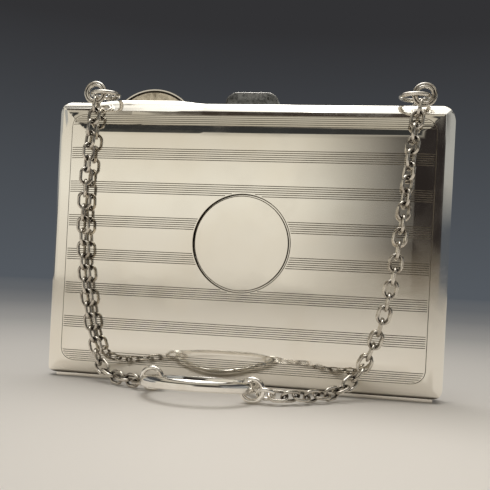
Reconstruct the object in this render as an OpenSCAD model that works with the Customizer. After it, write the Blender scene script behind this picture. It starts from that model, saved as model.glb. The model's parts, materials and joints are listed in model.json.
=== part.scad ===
// Silver card case with a bottom hinge, an inner card leaf and a chain handle with a finger ring.
// The case stands on its hinge edge. +X is to the right, the engraved face looks along -Y and +Z is up.
// The origin is on the surface that the case stands on, below the middle of the hinge.

/* [Case] */
// Width of the two shells
case_w = 88; // [76:1:100]
// Height of the two shells
case_h = 62; // [54:1:70]
// Depth of each shell, from the parting plane to its face
shell_d = 5.2; // [4.9:0.1:6.5]
// Thickness of the sheet silver
wall = 0.6; // [0.4:0.05:0.8]
// Radius of the upper corners of the outline
top_corner_r = 4; // [3:0.5:6]
// Radius of the lower corners of the outline
low_corner_r = 2.5; // [2.5:0.5:4]
// Width of the cushioned margin round the flat panel
cushion_w = 8; // [7:0.5:9]
// Radius of the cushioned margin
cushion_r = 15; // [14:0.5:16]
// Radius of the rolled edge
edge_r = 1.6; // [1.4:0.1:1.8]

/* [Hinge] */
// Outer diameter of the hinge knuckles
knuckle_d = 1.8; // [1.6:0.1:2]
// Diameter of the hinge pin
pin_d = 0.8; // [0.6:0.1:0.9]
// Number of knuckles, an odd number
knuckle_n = 7; // [5:2:11]
// Bare width of the case at each end of the hinge
hinge_inset = 2; // [1.5:0.5:4]
// Thickness of the bearer strips under the shells
bearer_t = 0.75; // [0.7:0.05:0.85]
// Reach of each bearer strip from the parting plane
bearer_reach = 2.2; // [2:0.1:2.6]

/* [Opening parts] */
// Width of the thumb-piece
thumb_w = 12.2; // [9:0.2:14]
// Height of the thumb-piece above the case
thumb_h = 3.2; // [1.6:0.1:3.8]
// Thickness of the thumb-piece
thumb_t = 1.4; // [1:0.1:1.6]
// Distance from the middle of the case to the middle of the crescent lift
lift_x = 22.8; // [20:0.2:24]
// Width of the crescent lift where it leaves the case
lift_w = 15.2; // [11:0.2:16]
// Height of the crescent lift above the case
lift_h = 3.9; // [2.5:0.1:4.5]
// Thickness of the crescent lift
lift_t = 0.9; // [0.7:0.1:1.1]
// Thickness of the inner card leaf
leaf_t = 0.45; // [0.35:0.05:0.5]
// Width of the catch tongue
tongue_w = 9; // [6:0.5:10]

/* [Chain] */
// Diameter of the chain wire
wire_d = 0.68; // [0.6:0.02:0.72]
// Outer length of a chain link
link_l = 4.2; // [4:0.1:4.6]
// Outer width of a chain link
link_w = 3.1; // [3:0.05:3.3]
// Diameter of the wire of the shackles
shackle_wire = 0.9; // [0.8:0.05:1]
// Outer diameter of the jump rings at the top of the case
top_ring_d = 5.2; // [5:0.1:5.6]
// Diameter of the wire of the jump rings
ring_wire = 1.0; // [0.9:0.05:1.05]
// Outer diameter of the jump rings on the finger ring
big_ring_d = 5.3; // [5.2:0.1:5.6]
// Outer diameter of the closing ring
closing_d = 4.1; // [4:0.1:4.4]

/* [Finger ring] */
// Outer diameter of the finger ring
finger_od = 24; // [22:0.5:26]
// Height of the band
band_h = 2.2; // [1.8:0.1:2.3]
// Thickness of the band
band_t = 1.3; // [1:0.1:1.4]

/* [Inside] */
// Thickness of the lining board
lining_t = 0.9; // [0.6:0.1:1.1]
// Width of the bowed card spring
spring_w = 8; // [6:0.5:12]
// Thickness of the spring strips
spring_t = 0.3; // [0.2:0.05:0.4]

/* [Hidden] */
$fn = 48;

// Clearances
fit = 0.03;
play = 0.05;
gap = 0.1;
loose = 0.3;
over = 1;

// Case levels: the shells stand on the bearer strips
base_z = bearer_t;
top_z = base_z + case_h;
mid_z = base_z + case_h / 2;
axis_z = knuckle_d / 2;
trough_r = knuckle_d / 2 + play;
hinge_l = case_w - 2 * hinge_inset;
pitch_k = hinge_l / knuckle_n;

// The inner leaf lies just behind the parting plane, and its lift stands on its back
leaf_y = 0.15;
lift_y = leaf_y + leaf_t;
lift_slot_w = lift_w + 2 * loose;

// Cushion profile: a large arc runs off the flat panel into the small arc of the rolled edge
roll_v = shell_d - cushion_r + sqrt(pow(cushion_r - edge_r, 2) - pow(cushion_w - edge_r, 2));
meet_u = (cushion_w - edge_r) / (cushion_r - edge_r);

// Chain
chain_play = 0.06;
pitch = link_l - 2 * wire_d - chain_play;
end_reach = (link_l - wire_d - pitch) / 2;
hook = (ring_wire + wire_d) / 2 + chain_play;

// Half of a cushioned outline, w wide, set in by t and standing on v = low
module cushion_profile(w, t, low) {
    arc_u = w / 2 - cushion_w;
    arc_v = shell_d - cushion_r;
    roll_u = w / 2 - edge_r;
    meet = arc_u + (cushion_r - t) * meet_u;
    translate([-arc_u, low])
        square([2 * arc_u, shell_d - t - low]);
    translate([t - w / 2, low])
        square([w - 2 * t, roll_v - low]);
    for (side = [-1, 1])
        scale([side, 1]) {
            intersection() {
                translate([arc_u, arc_v])
                    circle(cushion_r - t, $fn = 128);
                translate([0, low])
                    square([meet, shell_d - low]);
            }
            intersection() {
                translate([roll_u, roll_v])
                    circle(edge_r - t);
                translate([roll_u, low])
                    square([edge_r, shell_d]);
            }
        }
}

// Outline of the case seen from the front, set in by t
module outline(t) {
    half = case_w / 2 - t;
    low = base_z + t;
    high = top_z - t;
    up_r = max(top_corner_r - t, 0.4);
    down_r = max(low_corner_r - t, 0.4);
    for (side = [-1, 1]) {
        translate([side * (half - up_r), high - up_r])
            circle(up_r);
        translate([side * (half - down_r), low + down_r])
            circle(down_r);
    }
    translate([-half, low + down_r])
        square([2 * half, high - up_r - low - down_r]);
    translate([up_r - half, mid_z])
        square([2 * (half - up_r), high - mid_z]);
    translate([down_r - half, low])
        square([2 * (half - down_r), mid_z - low]);
}

// The outline between two depths
module outline_slab(t, y_from, y_to) {
    translate([0, y_to, 0])
        rotate([90, 0, 0])
            linear_extrude(y_to - y_from)
                outline(t);
}

// The cushioned body of one shell, set in by t, with its face towards +Y
module cushion_body(t, low) {
    intersection() {
        linear_extrude(top_z + over)
            cushion_profile(case_w, t, low);
        translate([0, 0, mid_z])
            rotate([0, -90, 0])
                linear_extrude(case_w + 2 * over, center = true)
                    cushion_profile(case_h, t, low);
        outline_slab(t, low - over, shell_d + over);
    }
}

module shell() {
    difference() {
        cushion_body(0, 0);
        cushion_body(wall, -over);
        hinge_trough();
    }
}

module hinge_trough() {
    translate([-case_w / 2 - over, 0, axis_z])
        rotate([0, 90, 0])
            cylinder(r = trough_r, h = case_w + 2 * over);
}

// Straight rod along X
module rod_x(r, x_from, x_to) {
    translate([x_from, 0, 0])
        rotate([0, 90, 0])
            cylinder(r = r, h = x_to - x_from);
}

module front_shell() {
    color("#d8d2c4")
        mirror([0, 1, 0])
            shell();
}

module rear_shell() {
    color("#cfc9bc")
        difference() {
            shell();
            translate([-lift_x - lift_slot_w / 2, -over, top_z - 2 * wall])
                cube([lift_slot_w, lift_y + lift_t + loose + over, 2 * wall + over]);
        }
}

// Bezel: a strip inside the mouth of the front shell that enters the rear shell by a little
bezel_t = 0.5;
bezel_in = 1.8;
bezel_out = 0.8;
bezel_low = 9;
post_w = 1.2;
catch_half = tongue_w / 2 + gap + post_w;

module front_bezel() {
    color("#d9c690")
        difference() {
            union() {
                outline_slab(wall, -bezel_in, 0);
                outline_slab(wall + play, 0, bezel_out);
            }
            outline_slab(wall + bezel_t, -bezel_in - over, bezel_out + over);
            translate([-case_w, -shell_d, base_z])
                cube([2 * case_w, 2 * shell_d, bezel_low]);
            translate([-catch_half - loose, -shell_d, mid_z])
                cube([2 * (catch_half + loose), 2 * shell_d, case_h]);
            translate([-lift_x - lift_slot_w / 2, 0, mid_z])
                cube([lift_slot_w, shell_d, case_h]);
        }
}

// Bearer strips carry the knuckles and make the flat foot of the case
module bearer() {
    translate([-hinge_l / 2, trough_r, 0])
        cube([hinge_l, bearer_reach - trough_r, bearer_t]);
}

module front_hinge_bearer() {
    color("#c4beb0")
        mirror([0, 1, 0])
            bearer();
}

module rear_hinge_bearer() {
    color("#c4beb0")
        bearer();
}

// Knuckles number first, first + 2 and so on, each with a web to its bearer on the +Y side
module knuckles(first) {
    for (k = [first:2:knuckle_n - 1])
        translate([-hinge_l / 2 + k * pitch_k + play, 0, axis_z])
            difference() {
                union() {
                    rod_x(knuckle_d / 2, 0, pitch_k - 2 * play);
                    translate([0, 0, -axis_z])
                        cube([pitch_k - 2 * play, trough_r, bearer_t]);
                }
                rod_x(pin_d / 2 + fit, -over, pitch_k + over);
            }
}

module front_hinge_knuckles() {
    color("#bdb7aa")
        mirror([0, 1, 0])
            knuckles(1);
}

module rear_hinge_knuckles() {
    color("#bdb7aa")
        knuckles(0);
}

module hinge_pin() {
    color("#a9a59b")
        translate([0, 0, axis_z])
            rod_x(pin_d / 2, -hinge_l / 2, hinge_l / 2);
}

// Thumb-piece on the top edge of the rear shell, with rounded shoulders
module thumb_piece() {
    shoulder = thumb_h * 0.7;
    color("#b9b5aa")
        translate([0, gap + thumb_t, top_z])
            rotate([90, 0, 0])
                linear_extrude(thumb_t) {
                    translate([-thumb_w / 2, 0])
                        square([thumb_w, thumb_h - shoulder]);
                    translate([shoulder - thumb_w / 2, 0])
                        square([thumb_w - 2 * shoulder, thumb_h]);
                    intersection() {
                        translate([-thumb_w / 2, 0])
                            square([thumb_w, thumb_h]);
                        for (side = [-1, 1])
                            translate([side * (thumb_w / 2 - shoulder), thumb_h - shoulder])
                                circle(shoulder);
                    }
                }
}

// Catch: a tongue on the rear shell slides over a bridge spring in the front shell
tongue_t = 0.4;
tongue_in = 1.4;
tongue_y = roll_v;
tongue_top = top_z - wall - gap;

module catch_tongue() {
    color("#b7b3a8")
        union() {
            translate([-tongue_w / 2, -tongue_in, tongue_top - tongue_t])
                cube([tongue_w, tongue_in + tongue_y, tongue_t]);
            translate([-tongue_w / 2, lift_y + loose, tongue_top - tongue_t])
                cube([tongue_w, tongue_y - lift_y - loose, top_z - wall - tongue_top + tongue_t]);
        }
}

module catch_spring() {
    bridge_w = 0.7;
    bridge_z = tongue_top - tongue_t - play - spring_t;
    color("#b7b3a8")
        translate([0, gap - roll_v, bridge_z]) {
            translate([-catch_half, 0, 0])
                cube([2 * catch_half, bridge_w, spring_t]);
            for (side = [-1, 1])
                translate([side > 0 ? catch_half - post_w : -catch_half, 0, 0])
                    cube([post_w, bridge_w, top_z - wall - bridge_z]);
        }
}

// Inner leaf that keeps the cards in the front shell, with its edge rolled into a barrel
leaf_inset = wall + bezel_t + loose;
leaf_barrel_d = 1.3;
leaf_pin_d = 0.6;
leaf_axis_y = leaf_y + leaf_barrel_d / 2;
leaf_axis_z = base_z + wall + 2.2;
lug_w = 1.6;
leaf_l = 2 * (case_w / 2 - leaf_inset - low_corner_r - lug_w - play);

module card_leaf() {
    color("#d9c690")
        difference() {
            union() {
                intersection() {
                    outline_slab(leaf_inset, leaf_y, leaf_y + leaf_t);
                    translate([-leaf_l / 2, 0, leaf_axis_z])
                        cube([leaf_l, shell_d, case_h]);
                }
                intersection() {
                    outline_slab(leaf_inset, leaf_y, leaf_y + leaf_t);
                    translate([-case_w / 2, 0, leaf_axis_z + leaf_barrel_d + loose])
                        cube([case_w, shell_d, case_h]);
                }
                translate([0, leaf_axis_y, leaf_axis_z])
                    rod_x(leaf_barrel_d / 2, -leaf_l / 2, leaf_l / 2);
            }
            translate([0, leaf_axis_y, leaf_axis_z])
                rod_x(leaf_pin_d / 2 + fit, -case_w, case_w);
        }
}

// Crescent lift on the back of the leaf: a disc segment with a dished front
module leaf_thumb_lift() {
    r = lift_h / 2 + lift_w * lift_w / (8 * lift_h);
    rim = 0.5;
    dish = 0.35;
    foot = 3.2;
    color("#cbc5b6")
        translate([-lift_x, lift_y + lift_t, 0])
            rotate([90, 0, 0])
                difference() {
                    intersection() {
                        translate([0, top_z + lift_h - r])
                            cylinder(r = r, h = lift_t, $fn = 96);
                        translate([-lift_w / 2, top_z - foot, -over])
                            cube([lift_w, foot + lift_h + over, lift_t + 2 * over]);
                    }
                    intersection() {
                        translate([0, top_z + lift_h - r, lift_t - dish])
                            cylinder(r = r - rim, h = lift_t, $fn = 96);
                        translate([-lift_w, top_z + rim, 0])
                            cube([2 * lift_w, lift_h, 2 * lift_t]);
                    }
                }
}

module leaf_hinge_lugs() {
    lug_x = leaf_l / 2 + play;
    lug_z = base_z + wall;
    head = leaf_barrel_d / 2;
    back = roll_v;
    color("#bdb7aa")
        for (side = [-1, 1])
            translate([side > 0 ? lug_x : -lug_x - lug_w, 0, 0])
                difference() {
                    union() {
                        translate([0, -back, lug_z])
                            cube([lug_w, back - trough_r - loose, leaf_axis_z - lug_z + head]);
                        translate([0, -back, leaf_axis_z - head])
                            cube([lug_w, back + leaf_axis_y, 2 * head]);
                        translate([0, leaf_axis_y, leaf_axis_z])
                            rod_x(head, 0, lug_w);
                    }
                    translate([0, leaf_axis_y, leaf_axis_z])
                        rod_x(leaf_pin_d / 2 + fit, -over, lug_w + over);
                }
}

module leaf_hinge_pin() {
    half = leaf_l / 2 + play + lug_w;
    color("#a9a59b")
        translate([0, leaf_axis_y, leaf_axis_z])
            rod_x(leaf_pin_d / 2, -half, half);
}

// Bowed spring strip that presses the cards towards the leaf
spring_low = 14;
spring_tab = 5;
spring_rise = 1.1;
spring_span = case_h - 2 * spring_low;
spring_r = spring_span * spring_span / (8 * spring_rise) + spring_rise / 2;
floor_y = shell_d - wall;

module card_spring() {
    color("#c9b67e")
        translate([0, -floor_y, mid_z]) {
            rotate([0, -90, 0])
                linear_extrude(spring_w, center = true)
                    intersection() {
                        difference() {
                            translate([0, spring_rise - spring_r + spring_t])
                                circle(spring_r, $fn = 200);
                            translate([0, spring_rise - spring_r])
                                circle(spring_r, $fn = 200);
                        }
                        translate([-spring_span / 2, 0])
                            square([spring_span, spring_rise + 2 * spring_t]);
                    }
            for (side = [-1, 1])
                translate([-spring_w / 2, 0, side > 0 ? spring_span / 2 - over : -spring_span / 2 - spring_tab + over])
                    cube([spring_w, spring_t, spring_tab]);
        }
}

module card_spring_rivets() {
    rivet_d = 1.8;
    rivet_t = 0.35;
    color("#a8a294")
        for (side = [-1, 1])
            translate([side * spring_w / 4, spring_t + rivet_t - floor_y, mid_z - spring_span / 2 - spring_tab / 2])
                rotate([90, 0, 0])
                    cylinder(d = rivet_d, h = rivet_t);
}

// Lining board on the inner face of the rear shell, and the card band across it
board_inset = cushion_w + 1;
board_r = 3;

module board(w, h, y_from, y_to) {
    translate([0, y_to, 0])
        rotate([90, 0, 0])
            linear_extrude(y_to - y_from) {
                square([w - 2 * board_r, h], center = true);
                square([w, h - 2 * board_r], center = true);
                for (side = [-1, 1], end = [-1, 1])
                    translate([side * (w / 2 - board_r), end * (h / 2 - board_r)])
                        circle(board_r);
            }
}

module rear_lining() {
    color("#5b3a2c")
        translate([0, 0, mid_z])
            board(case_w - 2 * board_inset, case_h - 2 * board_inset, floor_y - lining_t, floor_y);
}

module rear_card_pocket() {
    band_y = floor_y - lining_t;
    pocket_w = case_w - 2 * board_inset;
    pocket_h = (case_h - 2 * board_inset) / 2;
    slot_d = 0.6;
    skin = 0.35;
    seam = 1.2;
    color("#6b4636")
        translate([-pocket_w / 2, band_y - slot_d - skin, base_z + board_inset + board_r])
            difference() {
                cube([pocket_w, slot_d + skin, pocket_h]);
                translate([seam, skin, seam])
                    cube([pocket_w - 2 * seam, slot_d + over, pocket_h]);
            }
}

// Round wire rings and oval links. A torus lies in the XZ plane.
module torus(mean_r, r) {
    rotate([90, 0, 0])
        rotate_extrude($fn = 32)
            translate([mean_r, 0])
                circle(r, $fn = 20);
}

// Stadium of wire in the XZ plane, long along Z
module oval_link(length, width, wire) {
    bow_r = (width - wire) / 2;
    leg = (length - width) / 2;
    for (turn = [0, 180])
        rotate([0, turn, 0])
            translate([0, 0, leg])
                rotate([90, 0, 0])
                    rotate_extrude(angle = 180, $fn = 32)
                        translate([bow_r, 0])
                            circle(wire / 2, $fn = 20);
    for (side = [-1, 1])
        translate([side * bow_r, 0, -leg])
            cylinder(d = wire, h = 2 * leg, $fn = 20);
}

// Fittings at the top: an eye on the shell, a shackle lying through it, and a jump ring
left_fitting_in = 9.3;
right_fitting_in = 6.9;
left_ring_x = case_w / 2 - left_fitting_in;
right_ring_x = case_w / 2 - right_fitting_in;
eye_wire = 0.7;
eye_mean_r = (shackle_wire + eye_wire) / 2 + play;
eye_foot = 0.35;
eye_y = -(roll_v - 0.1) / 2;
shackle_z = top_z + eye_foot / 2 + eye_mean_r + eye_wire / 2;
ring_y = -shell_d - loose;
shackle_front = -ring_y + (ring_wire + shackle_wire) / 2 + play;
shackle_bow_r = (shackle_front + eye_y) / 2;
shackle_reach = 1.7;
shackle_l = 2 * shackle_bow_r + shackle_wire + 0.4;
top_ring_r = (top_ring_d - ring_wire) / 2;
hang_angle = 20;
hang_r = top_ring_r - hook + end_reach;
hang_x = hang_r * sin(hang_angle);
hang_z = shackle_z - hang_r * cos(hang_angle);

module eye(x) {
    color("#c8c2b4")
        translate([x, eye_y, 0])
            difference() {
                union() {
                    translate([0, 0, shackle_z])
                        rotate([0, 0, 90])
                            torus(eye_mean_r, eye_wire / 2);
                    translate([-eye_wire / 2, -eye_mean_r, top_z])
                        cube([eye_wire, 2 * eye_mean_r, eye_foot + eye_wire / 4]);
                }
                translate([0, 0, shackle_z])
                    rod_x(shackle_wire / 2 + play, -over, over);
            }
}

// Outer end of a shackle, for a jump ring centre at ring_x
function shackle_end(ring_x) = ring_x + shackle_reach;
function eye_x(ring_x) = shackle_end(ring_x) - shackle_l / 2;

module shackle(ring_x) {
    color("#cdc7b9")
        translate([shackle_end(ring_x) - shackle_l / 2, eye_y - shackle_bow_r, shackle_z])
            rotate([90, 0, 0])
                rotate([0, 90, 0])
                    oval_link(shackle_l, 2 * shackle_bow_r + shackle_wire, shackle_wire);
}

module top_ring(ring_x) {
    color("#cdc7b9")
        translate([ring_x, ring_y, shackle_z])
            torus(top_ring_r, ring_wire / 2);
}

module left_eye() mirror([1, 0, 0]) eye(eye_x(left_ring_x));
module right_eye() eye(eye_x(right_ring_x));
module left_shackle() mirror([1, 0, 0]) shackle(left_ring_x);
module right_shackle() shackle(right_ring_x);
module left_top_ring() mirror([1, 0, 0]) top_ring(left_ring_x);
module right_top_ring() top_ring(right_ring_x);

// Finger ring on the floor, the rings on its band, and the points where the chain hooks onto them
ring_mid = [-4.7, -17.4];
ring_tilt = 6.3;
ring_low = 0.28;
band_r = (finger_od - band_t) / 2;
ring_z = ring_low + finger_od / 2 * sin(ring_tilt) + band_h / 2 * cos(ring_tilt);
big_ring_r = (big_ring_d - ring_wire) / 2;
right_loop_angle = -14.8;
left_loop_angle = 163.3;
right_loop_at = ring_mid + band_r * [cos(right_loop_angle), sin(right_loop_angle)];
left_loop_at = ring_mid + (band_r + gap) * [cos(left_loop_angle), sin(left_loop_angle)];
closing_wire = 0.8;
closing_at = [right_loop_at[0] + 2.62, right_loop_at[1] + 0.13, 2.06];
closing_lean = 50;
right_hook = [right_loop_at[0] + 3.73, right_loop_at[1] + 0.26, 1.85];
left_hook = [left_loop_at[0] - 1.48, left_loop_at[1] - 0.24, 1.77];

// Routes of the chain: points chosen by hand that the middles of the links follow
rest_y = -shell_d - link_w / 2 - loose;
knee_z = mid_z + 1.25;
fold_z = 6.5;
floor_z = link_w / 2 + play;
right_upper_route = [[right_ring_x - hang_x, ring_y, hang_z], [right_ring_x - 1.3, ring_y - 0.9, top_z - 3.2],
    [right_ring_x - 1.7, rest_y + 0.3, top_z - 6.7], [right_ring_x - 2.1, rest_y, top_z - 10.7],
    [right_ring_x - 2.9, rest_y, knee_z + 9], [right_ring_x - 3.7, rest_y, knee_z]];
right_lower_route = [[right_ring_x - 3.7, rest_y, knee_z], [right_ring_x - 4.5, rest_y, 26],
    [right_ring_x - 5.7, rest_y, 19.5], [right_ring_x - 7.2, rest_y, 13.5],
    [right_ring_x - 8.8, rest_y, 9.2], [right_ring_x - 10.1, rest_y, fold_z]];
left_upper_route = [[hang_x - left_ring_x, ring_y, hang_z], [0.4 - left_ring_x, ring_y - 0.9, top_z - 3.2],
    [0.1 - left_ring_x, rest_y + 0.3, top_z - 6.7], [-left_ring_x - 0.2, rest_y, top_z - 10.7],
    [-left_ring_x - 0.7, rest_y, knee_z + 9], [-left_ring_x - 0.6, rest_y, knee_z]];
left_lower_route = [[-left_ring_x - 0.6, rest_y, knee_z], [-left_ring_x, rest_y, 25],
    [1.1 - left_ring_x, rest_y, 18], [2.2 - left_ring_x, rest_y, 12.5],
    [3.3 - left_ring_x, rest_y, 8.8], [4.0 - left_ring_x, rest_y, fold_z]];
right_end_route = [[right_ring_x - 10.1, rest_y, fold_z], [25.4, -8.0, 4.2], [23.4, -9.8, 2.6],
    [20.6, -12.4, floor_z], [17.4, -15.4, floor_z], [13.4, -19.2, 1.8], right_hook];
left_end_route = [[4.0 - left_ring_x, rest_y, fold_z], [-29.8, -7.6, 4.2], [-28.0, -8.4, 2.6],
    [-25.4, -9.6, floor_z], [-21.4, -12.0, floor_z], left_hook];

function unit(v) = v / norm(v);
function run(route, k = 0) = k >= len(route) - 1 ? 0 : norm(route[k + 1] - route[k]) + run(route, k + 1);
function walk(route, s, k = 0) =
    let (d = norm(route[k + 1] - route[k]))
    s <= d || k >= len(route) - 2 ? route[k] + unit(route[k + 1] - route[k]) * s : walk(route, s - d, k + 1);

// Number of links on a route and the joint points between them
function link_count(route) = ceil(run(route) / pitch);
function joint_at(route, i) = walk(route, run(route) * i / link_count(route));

// Axes of a link that points along d: its plane holds d and the unit vector across, turned by roll
function link_frame(c, d, ref, roll) =
    let (u = unit(ref - (ref * d) * d), v = cross(d, u),
        x = cos(roll) * u + sin(roll) * v, y = cross(d, x))
    [[x[0], y[0], d[0], c[0]], [x[1], y[1], d[1], c[1]], [x[2], y[2], d[2], c[2]], [0, 0, 0, 1]];

// A run of links whose roll goes from first to last in steps of a quarter turn and a steady twist
module strand(route, ref, first, last) {
    n = link_count(route);
    quarter = first + 90 * (n - 1);
    twist = (last - quarter) - 180 * round((last - quarter) / 180);
    color("#bfb9ac")
        for (i = [0:n - 1]) {
            a = joint_at(route, i);
            b = joint_at(route, i + 1);
            multmatrix(link_frame((a + b) / 2, unit(b - a), ref, first + 90 * i + twist * i / (n - 1)))
                oval_link(link_l, link_w, wire_d);
        }
}

module left_chain_upper() strand(left_upper_route, [1, 0, 0], 90, 0);
module right_chain_upper() strand(right_upper_route, [1, 0, 0], 90, 0);
module left_chain_lower() strand(left_lower_route, [1, 0, 0], 90, 0);
module right_chain_lower() strand(right_lower_route, [1, 0, 0], 90, 0);
module left_chain_end() strand(left_end_route, [0.45, 0.89, 0], -29, 12);
module right_chain_end() strand(right_end_route, [0.2, -0.98, 0], 0, -40);

// Finger ring: a half-round band, tipped up at the front, on two jump rings
module finger_ring() {
    crown = band_h * band_h / (8 * 0.5) + 0.25;
    color("#d2ccbe")
        translate([ring_mid[0], ring_mid[1], ring_z])
            rotate([-ring_tilt, 0, 0])
                rotate_extrude($fn = 96)
                    intersection() {
                        translate([finger_od / 2 - crown, 0])
                            circle(crown, $fn = 96);
                        translate([finger_od / 2 - band_t, -band_h / 2])
                            square([band_t, band_h]);
                    }
}

module left_ring_loop() {
    color("#cdc7b9")
        translate([left_loop_at[0], left_loop_at[1], big_ring_d / 2])
            torus(big_ring_r, ring_wire / 2);
}

module right_ring_loop() {
    color("#cdc7b9")
        translate([right_loop_at[0], right_loop_at[1], big_ring_d / 2])
            torus(big_ring_r, ring_wire / 2);
}

module closing_ring() {
    color("#c6c0b2")
        translate(closing_at)
            rotate([closing_lean, 0, 0])
                torus((closing_d - closing_wire) / 2, closing_wire / 2);
}

front_shell();
rear_shell();
front_bezel();
front_hinge_bearer();
rear_hinge_bearer();
front_hinge_knuckles();
rear_hinge_knuckles();
hinge_pin();
thumb_piece();
catch_tongue();
catch_spring();
card_leaf();
leaf_thumb_lift();
leaf_hinge_lugs();
leaf_hinge_pin();
card_spring();
card_spring_rivets();
rear_lining();
rear_card_pocket();
left_eye();
right_eye();
left_shackle();
right_shackle();
left_top_ring();
right_top_ring();
left_chain_upper();
right_chain_upper();
left_chain_lower();
right_chain_lower();
left_chain_end();
right_chain_end();
left_ring_loop();
right_ring_loop();
closing_ring();
finger_ring();
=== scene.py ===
import json
import math
import bpy
from mathutils import Matrix, Vector

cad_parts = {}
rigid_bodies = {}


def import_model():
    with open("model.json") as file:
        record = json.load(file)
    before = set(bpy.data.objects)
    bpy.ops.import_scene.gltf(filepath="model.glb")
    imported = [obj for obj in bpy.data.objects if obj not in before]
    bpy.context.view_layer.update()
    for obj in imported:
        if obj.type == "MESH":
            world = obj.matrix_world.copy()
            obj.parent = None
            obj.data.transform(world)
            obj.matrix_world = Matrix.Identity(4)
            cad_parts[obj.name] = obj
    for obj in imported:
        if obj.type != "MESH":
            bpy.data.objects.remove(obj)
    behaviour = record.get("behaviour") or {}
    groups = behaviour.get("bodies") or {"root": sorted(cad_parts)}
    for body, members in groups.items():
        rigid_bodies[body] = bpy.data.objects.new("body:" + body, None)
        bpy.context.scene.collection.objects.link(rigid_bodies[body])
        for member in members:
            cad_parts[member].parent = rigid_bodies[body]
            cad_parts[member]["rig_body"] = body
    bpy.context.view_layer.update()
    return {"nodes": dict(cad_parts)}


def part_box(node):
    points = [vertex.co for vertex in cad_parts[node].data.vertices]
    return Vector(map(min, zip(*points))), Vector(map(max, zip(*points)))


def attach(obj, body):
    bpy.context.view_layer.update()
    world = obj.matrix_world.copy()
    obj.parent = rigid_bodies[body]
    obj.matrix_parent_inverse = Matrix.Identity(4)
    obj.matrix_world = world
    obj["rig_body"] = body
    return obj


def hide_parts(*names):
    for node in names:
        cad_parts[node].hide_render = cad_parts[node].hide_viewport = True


# Polished silver card case with a chain handle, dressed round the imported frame.
# Pieces are shaped in millimetres and brought to metres when they are finished.
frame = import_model()
nodes = frame["nodes"]
bodyOf = {name: part["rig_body"] for name, part in nodes.items()}
mm = 0.001
near = 0.01  # mm, places that close count as the same
scene = bpy.context.scene
scene.view_settings.view_transform = "Standard"


# Camera: it looks a little up and to the left, from in front of the right half of the case
camera = dict(
    place=(25.93, -154.28, 23.51),  # mm
    heading=9.381,  # degrees to the left of straight ahead
    tilt=0.157,
    roll=2.907,
    lens=51.43,
    rise=0.0714,
)


def makeCamera():
    bpy.ops.object.camera_add()
    cam = bpy.context.object
    cam.name = "photoCamera"
    cam.data.lens = camera["lens"]
    cam.data.shift_y = camera["rise"]
    cam.data.clip_start = 0.01
    turn = (
        Matrix.Rotation(math.radians(camera["heading"]), 4, "Z")
        @ Matrix.Rotation(math.radians(90 + camera["tilt"]), 4, "X")
        @ Matrix.Rotation(math.radians(camera["roll"]), 4, "Z")
    )
    cam.matrix_world = Matrix.Translation(Vector(camera["place"]) * mm) @ turn
    scene.camera = cam


makeCamera()
print("camera set")


# Small helpers for node trees
def linear(r, g, b):  # from display values 0-255, none of them near black
    return tuple(((v / 255 + 0.055) / 1.055) ** 2.4 for v in (r, g, b)) + (1.0,)


def feed(tree, value, socket):
    if isinstance(value, bpy.types.NodeSocket):
        tree.links.new(value, socket)
    else:
        socket.default_value = value


def sums(tree, operation, *values):
    made = tree.nodes.new("ShaderNodeMath")
    made.operation = operation
    for value, socket in zip(values, made.inputs):
        feed(tree, value, socket)
    return made.outputs[0]


def fade(tree, value, low, high, atLow=0.0, atHigh=1.0):
    made = tree.nodes.new("ShaderNodeMapRange")
    made.interpolation_type = "SMOOTHSTEP"
    for socket, given in zip(made.inputs, (value, low, high, atLow, atHigh)):
        feed(tree, given, socket)
    return made.outputs[0]


def blendColour(tree, factor, first, second):
    made = tree.nodes.new("ShaderNodeMix")
    made.data_type = "RGBA"
    feed(tree, factor, made.inputs[0])
    feed(tree, first, made.inputs[6])
    feed(tree, second, made.inputs[7])
    return made.outputs[2]


def ramp(tree, factor, stops):
    made = tree.nodes.new("ShaderNodeValToRGB")
    feed(tree, factor, made.inputs[0])
    band = made.color_ramp
    while len(band.elements) < len(stops):
        band.elements.new(1.0)
    for element, (place, colour) in zip(band.elements, stops):
        element.position = place
        element.color = colour
    return made.outputs[0]


def noise(tree, coords, size, detail=3.0, stretch=(1, 1, 1)):  # size in mm of one blotch
    mapping = tree.nodes.new("ShaderNodeMapping")
    mapping.inputs["Scale"].default_value = stretch
    tree.links.new(coords, mapping.inputs["Vector"])
    made = tree.nodes.new("ShaderNodeTexNoise")
    made.inputs["Scale"].default_value = 1 / (size * mm)
    made.inputs["Detail"].default_value = detail
    tree.links.new(mapping.outputs[0], made.inputs["Vector"])
    return made.outputs[0]


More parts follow.
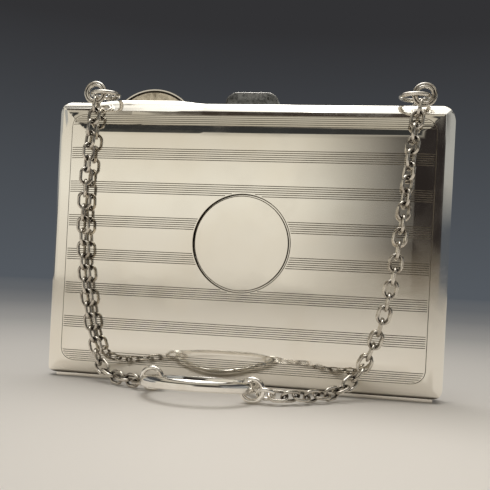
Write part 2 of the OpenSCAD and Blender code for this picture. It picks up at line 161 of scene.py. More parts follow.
# Studio: pale floor, dark backdrop, and a surround of cream walls, soft boxes and one dark flag
studio = dict(
    floorColour=(0.82, 0.775, 0.72, 1.0),
    floorRough=0.6,
    floorRadius=3.0,  # metres
    horizon=linear(84, 89, 95),
    top=linear(50, 50, 52),
    topFrom=0.61,  # share of the way from straight down to straight up
    floorLit=(25, -60, 0),  # mm, the centre of the pool of light painted on the floor
    floorPaintedFalloff=(  # painted light fall-off: metres from there, share of the horizon's colour painted over the floor for the camera, which also blends it into the backdrop
        (0.02, 0.0), (0.045, 0.1), (0.09, 0.28), (0.15, 0.36),
        (0.28, 0.63), (0.5, 0.8), (0.88, 0.9), (2.8, 1.0),
    ),
    bands=(  # elevation in degrees, colour that the silver sees there
        (-90, (0.60, 0.56, 0.50)),
        (-2, (0.70, 0.65, 0.56)),
        (3, (0.74, 0.69, 0.60)),
        (7, (0.86, 0.82, 0.72)),
        (12, (0.68, 0.63, 0.53)),
        (16.5, (0.56, 0.52, 0.44)),
        (18.5, (0.035, 0.036, 0.034)),
        (28.5, (0.030, 0.030, 0.030)),
        (30.5, (0.46, 0.42, 0.34)),
        (49.5, (0.52, 0.48, 0.40)),
        (51.5, (0.045, 0.034, 0.026)),
        (57, (0.040, 0.030, 0.024)),
        (59.5, (1.25, 1.22, 1.14)),
        (90, (1.5, 1.46, 1.38)),
    ),
    behind=(  # the same, for what lies past the sides of the case
        (-90, (0.30, 0.28, 0.25)),
        (1, (0.10, 0.11, 0.125)),
        (5, (0.085, 0.095, 0.11)),
        (8.5, (0.40, 0.40, 0.38)),
        (15, (0.40, 0.40, 0.38)),
        (20, (0.06, 0.062, 0.066)),
    ),
    behindRight=(49, 57),  # degrees over which each edge of it fades in or out
    behindLeft=(-84, -76),
    behindTop=(34, 46),
    flagDark=(0.022, 0.018, 0.017, 1.0),
    flagWarm=(0.20, 0.17, 0.13, 1.0),  # the flag's lowest part
    flagLow=(0.5, 4),
    flagLeft=(-7.5, 6),
    flagTop=(14.5, 18.5),
)


def makeWorld():
    world = bpy.data.worlds.new("studioSurround")
    scene.world = world
    world.use_nodes = True
    tree = world.node_tree
    tree.nodes.clear()
    coords = tree.nodes.new("ShaderNodeTexCoord")
    split = tree.nodes.new("ShaderNodeSeparateXYZ")
    tree.links.new(coords.outputs["Generated"], split.inputs[0])
    x, y, z = split.outputs
    elevation = sums(tree, "DEGREES", sums(tree, "ARCSINE", z))
    azimuth = sums(tree, "DEGREES", sums(tree, "ARCTAN2", x, sums(tree, "MULTIPLY", y, -1.0)))
    upright = sums(tree, "MULTIPLY_ADD", elevation, 1 / 180, 0.5)
    surround, past = (
        ramp(tree, upright, [(0.5 + angle / 180, (*colour, 1.0)) for angle, colour in studio[part]])
        for part in ("bands", "behind")
    )
    left = fade(tree, azimuth, *studio["flagLeft"])
    below = fade(tree, elevation, *studio["flagTop"], 1.0, 0.0)
    dark = fade(tree, elevation, *studio["flagLow"])
    flagColour = blendColour(tree, dark, studio["flagWarm"], studio["flagDark"])
    around = blendColour(tree, sums(tree, "MULTIPLY", left, below), surround, flagColour)
    onRight = fade(tree, azimuth, *studio["behindRight"])
    onLeft = fade(tree, azimuth, *studio["behindLeft"], 1.0, 0.0)
    low = fade(tree, elevation, *studio["behindTop"], 1.0, 0.0)
    behind = sums(tree, "MULTIPLY", sums(tree, "MAXIMUM", onRight, onLeft), low)
    seen = tree.nodes.new("ShaderNodeBackground")
    tree.links.new(blendColour(tree, behind, around, past), seen.inputs["Color"])
    backdrop = tree.nodes.new("ShaderNodeBackground")
    backStops = [(0.5, studio["horizon"]), (studio["topFrom"], studio["top"])]
    tree.links.new(ramp(tree, upright, backStops), backdrop.inputs["Color"])
    path = tree.nodes.new("ShaderNodeLightPath")
    mix = tree.nodes.new("ShaderNodeMixShader")
    tree.links.new(path.outputs["Is Camera Ray"], mix.inputs[0])
    tree.links.new(seen.outputs[0], mix.inputs[1])
    tree.links.new(backdrop.outputs[0], mix.inputs[2])
    output = tree.nodes.new("ShaderNodeOutputWorld")
    tree.links.new(mix.outputs[0], output.inputs[0])


def makeFloor():
    bpy.ops.mesh.primitive_circle_add(vertices=96, radius=studio["floorRadius"], fill_type="NGON")
    floor = bpy.context.object
    floor.name = "studioFloor"
    mat = bpy.data.materials.new("paleFloor")
    mat.use_nodes = True
    tree = mat.node_tree
    shader = tree.nodes["Principled BSDF"]
    shader.inputs["Base Color"].default_value = studio["floorColour"]
    shader.inputs["Roughness"].default_value = studio["floorRough"]
    coords = tree.nodes.new("ShaderNodeTexCoord")
    reach = tree.nodes.new("ShaderNodeVectorMath")
    reach.operation = "DISTANCE"
    tree.links.new(coords.outputs["Object"], reach.inputs[0])
    reach.inputs[1].default_value = Vector(studio["floorLit"]) * mm
    radius = studio["floorRadius"]
    stops = [(place / radius, (share, share, share, 1.0)) for place, share in studio["floorPaintedFalloff"]]
    away = sums(tree, "DIVIDE", reach.outputs["Value"], radius)
    # painted light fall-off: seen by the camera, the floor takes more of a glow in the horizon's colour the
    # further it lies from its painted pool of light
    path = tree.nodes.new("ShaderNodeLightPath")
    share = sums(tree, "MULTIPLY", ramp(tree, away, stops), path.outputs["Is Camera Ray"])
    paintedFalloffGlow = tree.nodes.new("ShaderNodeEmission")
    paintedFalloffGlow.inputs["Color"].default_value = studio["horizon"]
    mix = tree.nodes.new("ShaderNodeMixShader")
    tree.links.new(share, mix.inputs[0])
    tree.links.new(shader.outputs[0], mix.inputs[1])
    tree.links.new(paintedFalloffGlow.outputs[0], mix.inputs[2])
    tree.links.new(mix.outputs[0], tree.nodes["Material Output"].inputs[0])
    floor.data.materials.append(mat)


lamps = (
    dict(name="overheadBox", place=(-90, 110, 420), aim=(0, -10, 20), size=260, power=0.55),
    dict(name="frontBox", place=(-60, -130, 600), aim=(0, -20, 20), size=220, power=0.5),
)


def makeLamps():
    for lamp in lamps:
        data = bpy.data.lights.new(lamp["name"], "AREA")
        data.size = lamp["size"] * mm
        data.energy = lamp["power"]
        made = bpy.data.objects.new(lamp["name"], data)
        scene.collection.objects.link(made)
        made.location = Vector(lamp["place"]) * mm
        aim = Vector(lamp["aim"]) - Vector(lamp["place"])
        made.rotation_mode = "QUATERNION"
        made.rotation_quaternion = aim.to_track_quat("-Z", "Y")


makeWorld()
makeFloor()
makeLamps()
print("studio set")


# Finishes
silverLooks = {
    "engravedSilver": dict(
        colour=(0.93, 0.905, 0.845), toned=(0.80, 0.72, 0.58), toning=0.22, toneSize=16,
        rough=(0.055, 0.13), smudgeSize=7, waveSize=11, wave=10, grainSize=0.35, grain=0.5,
        # seam: painted shade along the bottom hinge seam by height in mm, in the darkest colour given next
        # to it
        seam=(0.85, 1.6), shadeAndTarnish=(0.06, 0.044, 0.034),
    ),
    "polishedSilver": dict(
        colour=(0.92, 0.895, 0.84), toned=(0.78, 0.70, 0.56), toning=0.25, toneSize=14,
        rough=(0.06, 0.15), smudgeSize=6, waveSize=10, wave=8, grainSize=0.35, grain=0.5,
        # seam: painted shade along the bottom hinge seam by height in mm, in the darkest colour given next
        # to it
        seam=(0.85, 1.6), shadeAndTarnish=(0.06, 0.044, 0.034),
    ),
    # a near-black finish: painted shadow under the crescent lift's rim
    "paintedShadowSilver": dict(
        colour=(0.06, 0.048, 0.036), toned=(0.03, 0.024, 0.018), toning=0.6, toneSize=0.8,
        rough=(0.35, 0.5), smudgeSize=1, waveSize=2, wave=0, grainSize=0.2, grain=1.0,
    ),
    "cutSilver": dict(
        colour=(0.30, 0.27, 0.22), toned=(0.10, 0.085, 0.07), toning=0.7, toneSize=3,
        rough=(0.28, 0.45), smudgeSize=2, waveSize=5, wave=0, grainSize=0.2, grain=1.0,
    ),
    "chainSilver": dict(
        colour=(0.70, 0.66, 0.595), toned=(0.26, 0.215, 0.165), toning=0.65, toneSize=2.2,
        rough=(0.18, 0.28), smudgeSize=1.5, waveSize=2, wave=0, grainSize=0.3, grain=0,
        # the darkest colour: tarnish together with painted shade where links come close
        shadeAndTarnish=(0.040, 0.028, 0.021), creviceReach=1.1,
    ),
    "fittingSilver": dict(
        colour=(0.76, 0.73, 0.67), toned=(0.36, 0.31, 0.245), toning=0.7, toneSize=2.2,
        rough=(0.17, 0.27), smudgeSize=1.5, waveSize=2, wave=0, grainSize=0.3, grain=0,
        # the darkest colour: tarnish together with painted shade where links come close
        shadeAndTarnish=(0.040, 0.028, 0.021), creviceReach=0.7,
    ),
    "ringSilver": dict(
        colour=(0.91, 0.885, 0.84), toned=(0.62, 0.56, 0.47), toning=0.35, toneSize=5,
        rough=(0.07, 0.17), smudgeSize=3, waveSize=6, wave=3, grainSize=0.25, grain=0.8,
    ),
    "hollowSilver": dict(
        colour=(0.66, 0.60, 0.49), toned=(0.20, 0.165, 0.12), toning=0.85, toneSize=1.5,
        rough=(0.22, 0.38), smudgeSize=1.0, waveSize=2, wave=2, grainSize=0.2, grain=1.0,
    ),
    "thumbSilver": dict(
        colour=(0.24, 0.25, 0.255), toned=(0.07, 0.075, 0.08), toning=0.8, toneSize=0.45,
        rough=(0.26, 0.46), smudgeSize=0.6, waveSize=2, wave=0, grainSize=0.1, grain=2.0,
    ),
    "pinSilver": dict(
        colour=(0.70, 0.68, 0.64), toned=(0.35, 0.32, 0.28), toning=0.5, toneSize=2,
        rough=(0.18, 0.35), smudgeSize=1.5, waveSize=3, wave=1, grainSize=0.15, grain=1.0,
    ),
    "giltSilver": dict(
        colour=(0.93, 0.78, 0.47), toned=(0.80, 0.62, 0.36), toning=0.4, toneSize=9,
        rough=(0.12, 0.24), smudgeSize=5, waveSize=9, wave=4, grainSize=0.3, grain=0.8,
    ),
}


wear = dict(  # the part of each noise or nearness over which a finish changes
    tone=(0.45, 0.72),
    smudge=(0.35, 0.7),
    # nearness over which the tarnish and painted shade between links fade out
    shadeAndTarnish=(0.6, 1.0),
    creviceSamples=4,
)


def silver(name, look):
    mat = bpy.data.materials.new(name)
    mat.use_nodes = True
    tree = mat.node_tree
    shader = tree.nodes["Principled BSDF"]
    shader.inputs["Metallic"].default_value = 1.0
    coords = tree.nodes.new("ShaderNodeTexCoord").outputs["Object"]
    toning = fade(tree, noise(tree, coords, look["toneSize"], 5.0), *wear["tone"], 0.0, look["toning"])
    colour = blendColour(tree, toning, (*look["colour"], 1.0), (*look["toned"], 1.0))
    if "creviceReach" in look:  # darker where other links are close: tarnish in the crevices together with painted shade where the links shadow each other
        around = tree.nodes.new("ShaderNodeAmbientOcclusion")
        around.samples = wear["creviceSamples"]
        around.only_local = True
        around.inputs["Distance"].default_value = look["creviceReach"] * mm
        clearOfShadeAndTarnish = fade(tree, around.outputs["AO"], *wear["shadeAndTarnish"])
        colour = blendColour(tree, clearOfShadeAndTarnish, (*look["shadeAndTarnish"], 1.0), colour)
    if "seam" in look:  # painted shade along the hinge seam near the floor: dark below the first height in mm, gone above the second
        split = tree.nodes.new("ShaderNodeSeparateXYZ")
        tree.links.new(coords, split.inputs[0])
        clearOfShadeAndTarnish = fade(tree, split.outputs[2], look["seam"][0] * mm, look["seam"][1] * mm)
        colour = blendColour(tree, clearOfShadeAndTarnish, (*look["shadeAndTarnish"], 1.0), colour)
    tree.links.new(colour, shader.inputs["Base Color"])
    smudge = noise(tree, coords, look["smudgeSize"], 6.0)
    tree.links.new(fade(tree, smudge, *wear["smudge"], *look["rough"]), shader.inputs["Roughness"])
    wave = noise(tree, coords, look["waveSize"], 1.0)
    grain = noise(tree, coords, look["grainSize"], 3.0)
    slow = sums(tree, "MULTIPLY", wave, look["wave"] * 1e-6)
    height = sums(tree, "MULTIPLY_ADD", grain, look["grain"] * 1e-6, slow)
    bump = tree.nodes.new("ShaderNodeBump")
    bump.inputs["Distance"].default_value = 1.0
    tree.links.new(height, bump.inputs["Height"])
    tree.links.new(bump.outputs[0], shader.inputs["Normal"])
    return mat


leatherLooks = {
    "liningLeather": dict(
        colour=(0.105, 0.043, 0.026), worn=(0.17, 0.082, 0.05), rough=(0.42, 0.6), grain=0.55,
    ),
    "pocketLeather": dict(
        colour=(0.15, 0.068, 0.042), worn=(0.25, 0.13, 0.085), rough=(0.38, 0.55), grain=0.45,
    ),
}
hide = dict(  # sizes in mm, and the part of each noise over which the leather changes
    wornSize=9, worn=(0.42, 0.7), sheenSize=3, sheen=(0.3, 0.7), creaseDeep=0.03, crease=(0.0, 0.25),
)


def leather(name, look):
    mat = bpy.data.materials.new(name)
    mat.use_nodes = True
    tree = mat.node_tree
    shader = tree.nodes["Principled BSDF"]
    coords = tree.nodes.new("ShaderNodeTexCoord").outputs["Object"]
    worn = fade(tree, noise(tree, coords, hide["wornSize"], 5.0), *hide["worn"])
    colour = blendColour(tree, worn, (*look["colour"], 1.0), (*look["worn"], 1.0))
    tree.links.new(colour, shader.inputs["Base Color"])
    rough = fade(tree, noise(tree, coords, hide["sheenSize"], 4.0), *hide["sheen"], *look["rough"])
    tree.links.new(rough, shader.inputs["Roughness"])
    cells = tree.nodes.new("ShaderNodeTexVoronoi")
    cells.feature = "DISTANCE_TO_EDGE"
    cells.inputs["Scale"].default_value = 1 / (look["grain"] * mm)
    tree.links.new(coords, cells.inputs["Vector"])
    bump = tree.nodes.new("ShaderNodeBump")
    bump.inputs["Distance"].default_value = 1.0
    height = sums(tree, "MULTIPLY", fade(tree, cells.outputs[0], *hide["crease"]), hide["creaseDeep"] * mm)
    tree.links.new(height, bump.inputs["Height"])
    tree.links.new(bump.outputs[0], shader.inputs["Normal"])
    return mat


finishes = {name: silver(name, look) for name, look in silverLooks.items()}
finishes.update({name: leather(name, look) for name, look in leatherLooks.items()})
print("finishes made")


# Helpers for modelling
def choose(piece):
    bpy.ops.object.select_all(action="DESELECT")
    piece.select_set(True)
    bpy.context.view_layer.objects.active = piece


def edit(piece, kind="FACE"):
    choose(piece)
    bpy.ops.object.mode_set(mode="EDIT")
    bpy.ops.mesh.select_mode(type=kind)
    bpy.ops.mesh.select_all(action="SELECT")


def leave():
    bpy.ops.object.mode_set(mode="OBJECT")


def pick(piece, kind, wanted):  # selects the faces, edges or vertices that wanted() accepts
    bpy.ops.mesh.select_mode(type=kind)
    bpy.ops.mesh.select_all(action="DESELECT")
    leave()
    mesh = piece.data
    items = {"FACE": mesh.polygons, "EDGE": mesh.edges, "VERT": mesh.vertices}[kind]
    for item in items:
        item.select = wanted(item)
    bpy.ops.object.mode_set(mode="EDIT")


def scaled(piece, factor):
    edit(piece)
    bpy.ops.transform.resize(value=(factor, factor, factor), center_override=(0, 0, 0))
    leave()


def standUp(piece, place):  # turns what was made lying flat upright, and moves its middle to the place
    edit(piece)
    bpy.ops.transform.rotate(value=math.radians(90), orient_axis="X", center_override=(0, 0, 0))
    bpy.ops.transform.translate(value=place)
    leave()


def copyNode(name, newName):  # the node's mesh as one connected surface, in mm
    piece = bpy.data.objects.new(newName, nodes[name].data.copy())
    scene.collection.objects.link(piece)
    piece.data.materials.clear()
    edit(piece)
    bpy.ops.mesh.customdata_custom_splitnormals_clear()
    bpy.ops.mesh.remove_doubles(threshold=0.002 * mm)
    leave()
    scaled(piece, 1 / mm)
    return piece


def applyModifier(piece, kind, **settings):
    choose(piece)
    modifier = piece.modifiers.new(kind.lower(), kind)
    for key, value in settings.items():
        setattr(modifier, key, value)
    bpy.ops.object.modifier_apply(modifier=modifier.name)


def chamfer(piece, width, angle, segments=1):  # of the edges that turn by more than the angle
    limit = math.radians(angle)
    applyModifier(piece, "BEVEL", width=width, segments=segments, limit_method="ANGLE", angle_limit=limit)


def carve(piece, tool, operation="DIFFERENCE"):
    applyModifier(piece, "BOOLEAN", operation=operation, solver="EXACT", object=tool)
    bpy.data.objects.remove(tool)


def smooth(piece, angle, weighted=True):
    choose(piece)
    bpy.ops.object.shade_smooth_by_angle(angle=math.radians(angle))
    if weighted:
        applyModifier(piece, "WEIGHTED_NORMAL", keep_sharp=True, weight=80)


def finishPiece(piece, finish, slotName, *replaced):  # from mm to metres, then on to its body
    scaled(piece, mm)
    if finish and not piece.data.materials:
        piece.data.materials.append(finishes[finish])
    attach(piece, bodyOf[replaced[0]])
    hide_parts(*replaced)


# Shells: cushioned faces with cut lines in eight groups, a border line and a plain disc
case = dict(
    halfW=44.0, halfH=31.0, middle=31.75, depth=5.2, cushion=8.0, cushionR=15.0, edgeR=1.6,
    sharp=25,  # degrees from which an edge stays sharp
)
engraving = dict(
    groups=8, lines=6, pitch=7.597, top=59.5, lineGap=0.464, cut=0.085, borderX=40.1, borderR=3.0,
    cornerSteps=8, clear=0.3, discR=(10.7, 10.25), discSteps=96, step=0.6,
)
swell = dict(
    middle=-23.2, flatHalf=5.5, halfW=13.6, height=0.75, low=60.5, full=61.4, rows=5,
    slope=25.5,  # degrees from upright
    seam=1.2,  # over this last depth the moves inward fade out, down to none at the seam
    step=0.8,
)


def profileDepth(offset, half):  # depth of the face at a distance from the middle line
    past = abs(offset) - (half - case["cushion"])
    if past <= 0:
        return case["depth"]
    rollU = case["cushion"] - case["edgeR"]
    low = case["depth"] - case["cushionR"]
    innerR = case["cushionR"] - case["edgeR"]
    if past <= case["cushionR"] * rollU / innerR:
        return low + math.sqrt(case["cushionR"] ** 2 - past ** 2)
    rollV = low + math.sqrt(innerR ** 2 - rollU ** 2)
    return rollV + math.sqrt(max(case["edgeR"] ** 2 - (past - rollU) ** 2, 0))


def onFace(x, z, side):
    depth = min(profileDepth(x, case["halfW"]), profileDepth(z - case["middle"], case["halfH"]))
    return (x, side * depth, z)


def spread(low, high):  # places along a cut, close together only where the face curves
    flat = case["halfW"] - case["cushion"]
    count = int(case["cushion"] / engraving["step"])
    curved = [sign * (flat + k * engraving["step"]) for sign in (-1, 1) for k in range(count)]
    return sorted([low, high] + [x for x in curved if low < x < high])


def lineEnd(rise):  # a line stops a little short of the border line and its round corners
    past = abs(rise) - (engraving["top"] - case["middle"] - engraving["borderR"])
    cornerR = engraving["borderR"] - engraving["clear"]
    inward = cornerR - math.sqrt(cornerR ** 2 - past ** 2) if past > 0 else 0
    return engraving["borderX"] - engraving["clear"] - inward


def linePaths(side, discR):
    paths = []
    for group in range(engraving["groups"]):
        for line in range(engraving["lines"]):
            first = group == 0 and line == 0
            last = group == engraving["groups"] - 1 and line == engraving["lines"] - 1
            if first or last:
                continue  # the border line takes these two places
            z = engraving["top"] - group * engraving["pitch"] - line * engraving["lineGap"]
            rise = z - case["middle"]
            end = lineEnd(rise)
            stops = [(-end, end)]
            if abs(rise) < discR:
                inner = math.sqrt(discR ** 2 - rise ** 2)
                stops = [(-end, -inner), (inner, end)]
            paths += [[onFace(x, z, side) for x in spread(*stop)] for stop in stops]
    return paths


def borderPath(side):
    r = engraving["borderR"]
    halfX = engraving["borderX"]
    halfZ = engraving["top"] - case["middle"]
    points = []
    for quarter, (signX, signZ) in enumerate(((1, 1), (-1, 1), (-1, -1), (1, -1))):
        for k in range(engraving["cornerSteps"] + 1):
            angle = math.radians(90 * quarter + k * 90 / engraving["cornerSteps"])
            x = signX * (halfX - r) + r * math.cos(angle)
            z = case["middle"] + signZ * (halfZ - r) + r * math.sin(angle)
            points.append(onFace(x, z, side))
    return points


def discPath(radius, side):
    count = engraving["discSteps"]
    angles = [2 * math.pi * k / count for k in range(count)]
    return [onFace(radius * math.cos(a), case["middle"] + radius * math.sin(a), side) for a in angles]


def makeCutter(side, withDisc):
    curve = bpy.data.curves.new("cutter", "CURVE")
    curve.dimensions = "3D"
    curve.bevel_depth = engraving["cut"]
    curve.bevel_resolution = 0
    curve.use_fill_caps = True
    discR = engraving["discR"][0] + engraving["clear"] if withDisc else 0
    closed = [borderPath(side)] + ([discPath(r, side) for r in engraving["discR"]] if withDisc else [])
    for path, cyclic in [(p, False) for p in linePaths(side, discR)] + [(p, True) for p in closed]:
        spline = curve.splines.new("POLY")
        spline.points.add(len(path) - 1)
        for point, place in zip(spline.points, path):
            point.co = (*place, 1.0)
        spline.use_cyclic_u = cyclic
    cutter = bpy.data.objects.new("cutter", curve)
    scene.collection.objects.link(cutter)
    choose(cutter)
    bpy.ops.object.convert(target="MESH")
    cutter = bpy.context.object
    edit(cutter)
    bpy.ops.mesh.normals_make_consistent(inside=False)
    leave()
    return cutter


def engrave(piece, side, finish, withDisc):
    cutter = makeCutter(side, withDisc)
    for obj in (piece, cutter):
        obj.data.materials.append(finishes[finish])
        obj.data.materials.append(finishes["cutSilver"])
    for face in cutter.data.polygons:
        face.material_index = 1
    carve(piece, cutter)


def ontoArc(piece, side):  # vertices cut into the facets of a margin go back onto its arc
    for vertex in piece.data.vertices:
        x, y, z = vertex.co
        past = max(abs(x) - case["halfW"], abs(z - case["middle"]) - case["halfH"]) + case["cushion"]
        depth = onFace(x, z, side)[1]
        if 0 < past < case["cushion"] - case["edgeR"] and abs(y - depth) < 2 * near:
            vertex.co.y = depth


def swellEdge(piece):  # the top edge of the front shell rises under the crescent lift
    count = int(2 * swell["halfW"] / swell["step"])
    for k in range(count + 1):
        edit(piece)
        x = swell["middle"] - swell["halfW"] + k * swell["step"]
        bpy.ops.mesh.bisect(plane_co=(x, 0, 0), plane_no=(1, 0, 0))
        leave()
    for k in range(swell["rows"] + 1):
        edit(piece)
        z = swell["low"] + k * (swell["full"] - swell["low"]) / swell["rows"]
        bpy.ops.mesh.bisect(plane_co=(0, 0, z), plane_no=(0, 0, 1))
        leave()
    ontoArc(piece, -1)
    lowDepth = profileDepth(swell["low"] - case["middle"], case["halfH"])
    steep = math.tan(math.radians(swell["slope"]))
    for vertex in piece.data.vertices:
        away = abs(vertex.co.x - swell["middle"])
        across = min(max((swell["halfW"] - away) / (swell["halfW"] - swell["flatHalf"]), 0), 1)
        across *= across * (3 - 2 * across)
        upward = min(max((vertex.co.z - swell["low"]) / (swell["full"] - swell["low"]), 0), 1)
        climb = upward * (swell["full"] - swell["low"] + swell["height"])
        depth = profileDepth(min(vertex.co.z, swell["full"]) - case["middle"], case["halfH"])
        inward = depth - (lowDepth - steep * climb) if upward else 0
        if upward == 1:
            inward *= min(abs(vertex.co.y) / swell["seam"], 1)
        vertex.co.z += swell["height"] * across * upward
        vertex.co.y += inward * across


def divideMargins(piece):  # so that the margins are shaded straight up to the corners
    flatX = case["halfW"] - case["cushion"]
    flatZ = case["halfH"] - case["cushion"]
    for sign in (-1, 1):
        edit(piece)
        bpy.ops.mesh.bisect(plane_co=(sign * flatX, 0, 0), plane_no=(1, 0, 0))
        bpy.ops.mesh.select_all(action="SELECT")
        bpy.ops.mesh.bisect(plane_co=(0, 0, case["middle"] + sign * flatZ), plane_no=(0, 0, 1))
        leave()


def makeShells():
    front = copyNode("front_shell", "engravedFrontShell")
    divideMargins(front)
    swellEdge(front)
    engrave(front, -1, "engravedSilver", True)
    smooth(front, case["sharp"])
    finishPiece(front, None, "engraved_silver", "front_shell")
    print("front shell:", len(front.data.polygons), "faces")
    rear = copyNode("rear_shell", "engravedRearShell")
    divideMargins(rear)
    engrave(rear, 1, "polishedSilver", False)
    smooth(rear, case["sharp"])
    finishPiece(rear, None, "polished_silver", "rear_shell")
    print("rear shell:", len(rear.data.polygons), "faces")


makeShells()


# Thumb-piece: a plate with rounded shoulders, a bright rim and fine upright ribs on its face
thumb = dict(
    shoulder=2.8, shoulderSteps=10, rim=0.3, recess=0.12, ribPitch=0.36, ribHeight=0.05, edge=0.2, sharp=25,
)


def makeThumbPiece():
    low, high = (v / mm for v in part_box("thumb_piece"))
    middle, size = (low + high) / 2, high - low
    bpy.ops.object.select_all(action="DESELECT")
    bpy.ops.mesh.primitive_cube_add(size=1)
    piece = bpy.context.object
    piece.name = "ribbedThumbPiece"
    edit(piece)
    bpy.ops.transform.resize(value=size)
    bpy.ops.transform.translate(value=middle)
    co = piece.data.vertices
    pick(piece, "EDGE", lambda e: all(co[v].co.z > high.z - near for v in e.vertices)
         and abs(co[e.vertices[0]].co.x - co[e.vertices[1]].co.x) < near)
    bpy.ops.mesh.bevel(offset=thumb["shoulder"], segments=thumb["shoulderSteps"])
    pick(piece, "FACE", lambda f: f.normal.y < -0.99)
    bpy.ops.mesh.inset(thickness=thumb["rim"], use_boundary=True)
    bpy.ops.transform.translate(value=(0, thumb["recess"], 0))
    leave()
    recessY = low.y + thumb["recess"]
    ribs = int((size.x - 2 * thumb["rim"]) / thumb["ribPitch"])
    for k in range(2 * ribs + 1):
        x = middle.x + (k - ribs) * thumb["ribPitch"] / 2
        edit(piece)
        pick(piece, "FACE", lambda f: f.normal.y < -0.9 and f.center.y > recessY - near)
        bpy.ops.mesh.bisect(plane_co=(x, 0, 0), plane_no=(1, 0, 0))
        leave()
    inside = size.x / 2 - thumb["rim"] - 2 * near
    for vertex in piece.data.vertices:
        steps = (vertex.co.x - middle.x) / (thumb["ribPitch"] / 2) + ribs
        onRib = abs(steps - round(steps)) < 2 * near and round(steps) % 2 == 0
        if onRib and abs(vertex.co.y - recessY) < near and abs(vertex.co.x - middle.x) < inside:
            vertex.co.y -= thumb["ribHeight"]
    chamfer(piece, thumb["edge"], 60)
    piece.data.materials.append(finishes["polishedSilver"])
    piece.data.materials.append(finishes["thumbSilver"])
    for face in piece.data.polygons:
        face.material_index = int(face.normal.y < -0.5 and face.center.y > low.y + thumb["recess"] / 3)
    smooth(piece, thumb["sharp"])
    finishPiece(piece, None, "thumb_silver", "thumb_piece")


# Crescent lift: a segment of a disc with a hollow ground into its front
lift = dict(
    steps=200, rim=0.32, edge=0.16, sharp=25,
    hollowDeep=0.55, ballSteps=(256, 128),
    grooveR=0.26, grooveIn=0.2, grooveOut=0.06, grooveSteps=(240, 10),
)


def makeCrescent():
    low, high = (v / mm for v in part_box("leaf_thumb_lift"))
    topZ = case["middle"] + case["halfH"]
    width, rise = high.x - low.x, high.z - topZ - swell["height"]
    r = rise / 2 + width ** 2 / (8 * rise)
    middleX = (low.x + high.x) / 2
    centre = Vector((middleX, (low.y + high.y) / 2, high.z - r))
    bpy.ops.object.select_all(action="DESELECT")
    bpy.ops.mesh.primitive_cylinder_add(vertices=lift["steps"], radius=r, depth=high.y - low.y)
    piece = bpy.context.object
    piece.name = "hollowedCrescentLift"
    standUp(piece, centre)
    edit(piece)
    trims = ((0, 0, low.z), (0, 0, -1)), ((low.x, 0, 0), (-1, 0, 0)), ((high.x, 0, 0), (1, 0, 0))
    for place, outward in trims:
        bpy.ops.mesh.select_all(action="SELECT")
        bpy.ops.mesh.bisect(plane_co=place, plane_no=outward, use_fill=True, clear_outer=True)
    leave()
    hollowR = r - lift["rim"]
    ballR = (hollowR ** 2 + lift["hollowDeep"] ** 2) / (2 * lift["hollowDeep"])
    bpy.ops.object.select_all(action="DESELECT")
    around, upward = lift["ballSteps"]
    bpy.ops.mesh.primitive_uv_sphere_add(segments=around, ring_count=upward, radius=ballR)
    ball = bpy.context.object
    standUp(ball, (centre.x, low.y - ballR + lift["hollowDeep"], centre.z))
    bpy.ops.object.select_all(action="DESELECT")
    around, across = lift["grooveSteps"]
    bpy.ops.mesh.primitive_torus_add(
        major_segments=around, minor_segments=across,
        major_radius=hollowR - lift["grooveIn"], minor_radius=lift["grooveR"],
    )
    groove = bpy.context.object
    standUp(groove, (centre.x, low.y - lift["grooveOut"], centre.z))
    # the groove round the hollow takes the near-black finish, a line of painted shadow under the rim
    for number, tool in enumerate((piece, ball, groove)):
        for finish in ("polishedSilver", "hollowSilver", "paintedShadowSilver"):
            tool.data.materials.append(finishes[finish])
        for face in tool.data.polygons:
            face.material_index = number
    carve(piece, ball)
    carve(piece, groove)
    chamfer(piece, lift["edge"], 75)
    smooth(piece, lift["sharp"])
    finishPiece(piece, None, "polished_silver", "leaf_thumb_lift")


makeThumbPiece()
makeCrescent()
print("opening pieces made")


# Jump rings at the top: a bright outer bead and a broader inner one with a crease between them
beads = dict(outer=0.27, inner=0.36, crease=0.06, steps=(96, 20))
wireSharp = 40  # degrees from which an edge of a wire or band stays sharp


def makeTopRing(name, newName):
    low, high = (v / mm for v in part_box(name))
    centre, outerR = (low + high) / 2, (high.x - low.x) / 2
    rings = []
    for minor, major in (
        (beads["outer"], outerR - beads["outer"]),
        (beads["inner"], outerR - 2 * beads["outer"] - beads["inner"] + beads["crease"]),
    ):
        bpy.ops.object.select_all(action="DESELECT")
        around, across = beads["steps"]
        bpy.ops.mesh.primitive_torus_add(
            major_segments=around, minor_segments=across, major_radius=major, minor_radius=minor
        )
        ring = bpy.context.object
        standUp(ring, centre)
        rings.append(ring)
    rings[0].name = newName
    carve(rings[0], rings[1], "UNION")
    smooth(rings[0], wireSharp, False)
    finishPiece(rings[0], "fittingSilver", "chain_silver", name)


makeTopRing("left_top_ring", "leftTopRing")
makeTopRing("right_top_ring", "rightTopRing")


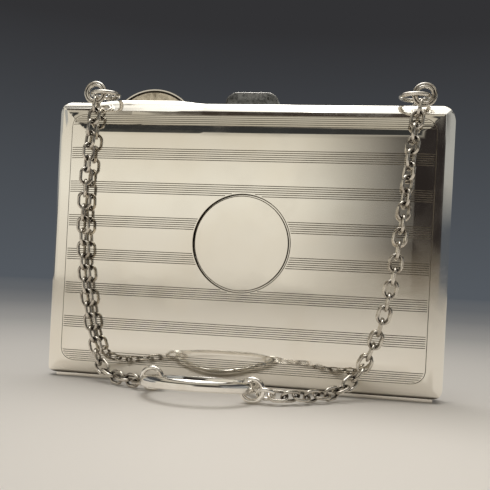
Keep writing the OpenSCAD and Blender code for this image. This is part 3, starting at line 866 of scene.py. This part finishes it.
# Wire and band pieces that keep the solids' own shapes, with their facets turned into smooth surfaces
smoothed = {  # node: new name, finish, slot, width of the softened edge in mm
    "left_eye": ("leftEye", "fittingSilver", "chain_silver", 0),
    "right_eye": ("rightEye", "fittingSilver", "chain_silver", 0),
    "left_shackle": ("leftShackle", "fittingSilver", "chain_silver", 0),
    "right_shackle": ("rightShackle", "fittingSilver", "chain_silver", 0),
    "left_chain_upper": ("leftChainUpper", "chainSilver", "chain_silver", 0),
    "right_chain_upper": ("rightChainUpper", "chainSilver", "chain_silver", 0),
    "left_chain_lower": ("leftChainLower", "chainSilver", "chain_silver", 0),
    "right_chain_lower": ("rightChainLower", "chainSilver", "chain_silver", 0),
    "left_chain_end": ("leftChainEnd", "chainSilver", "chain_silver", 0),
    "right_chain_end": ("rightChainEnd", "chainSilver", "chain_silver", 0),
    "left_ring_loop": ("leftRingLoop", "ringSilver", "chain_silver", 0),
    "right_ring_loop": ("rightRingLoop", "ringSilver", "chain_silver", 0),
    "closing_ring": ("closingRing", "ringSilver", "chain_silver", 0),
    "finger_ring": ("fingerRing", "ringSilver", "ring_silver", 0.12),
}


def makeSmoothed():
    for name, (newName, finish, slotName, edge) in smoothed.items():
        piece = copyNode(name, newName)
        if edge:
            chamfer(piece, edge, wireSharp, 3)
        smooth(piece, wireSharp, False)
        finishPiece(piece, finish, slotName, name)


makeSmoothed()
print("chain and rings made")


# The solids that stay as they are take their finishes here
kept = {
    "front_hinge_bearer": "ringSilver",
    "rear_hinge_bearer": "ringSilver",
    "front_hinge_knuckles": "pinSilver",
    "rear_hinge_knuckles": "pinSilver",
    "hinge_pin": "pinSilver",
    "front_bezel": "giltSilver",
    "catch_tongue": "polishedSilver",
    "catch_spring": "pinSilver",
    "card_leaf": "giltSilver",
    "leaf_hinge_lugs": "giltSilver",
    "leaf_hinge_pin": "pinSilver",
    "card_spring": "giltSilver",
    "card_spring_rivets": "pinSilver",
    "rear_lining": "liningLeather",
    "rear_card_pocket": "pocketLeather",
}


def dressKept():
    for name, finish in kept.items():
        part = nodes[name]
        if not part.material_slots:
            part.data.materials.append(finishes[finish])
        for place in part.material_slots:
            place.material = finishes[finish]


dressKept()
print("solids dressed")
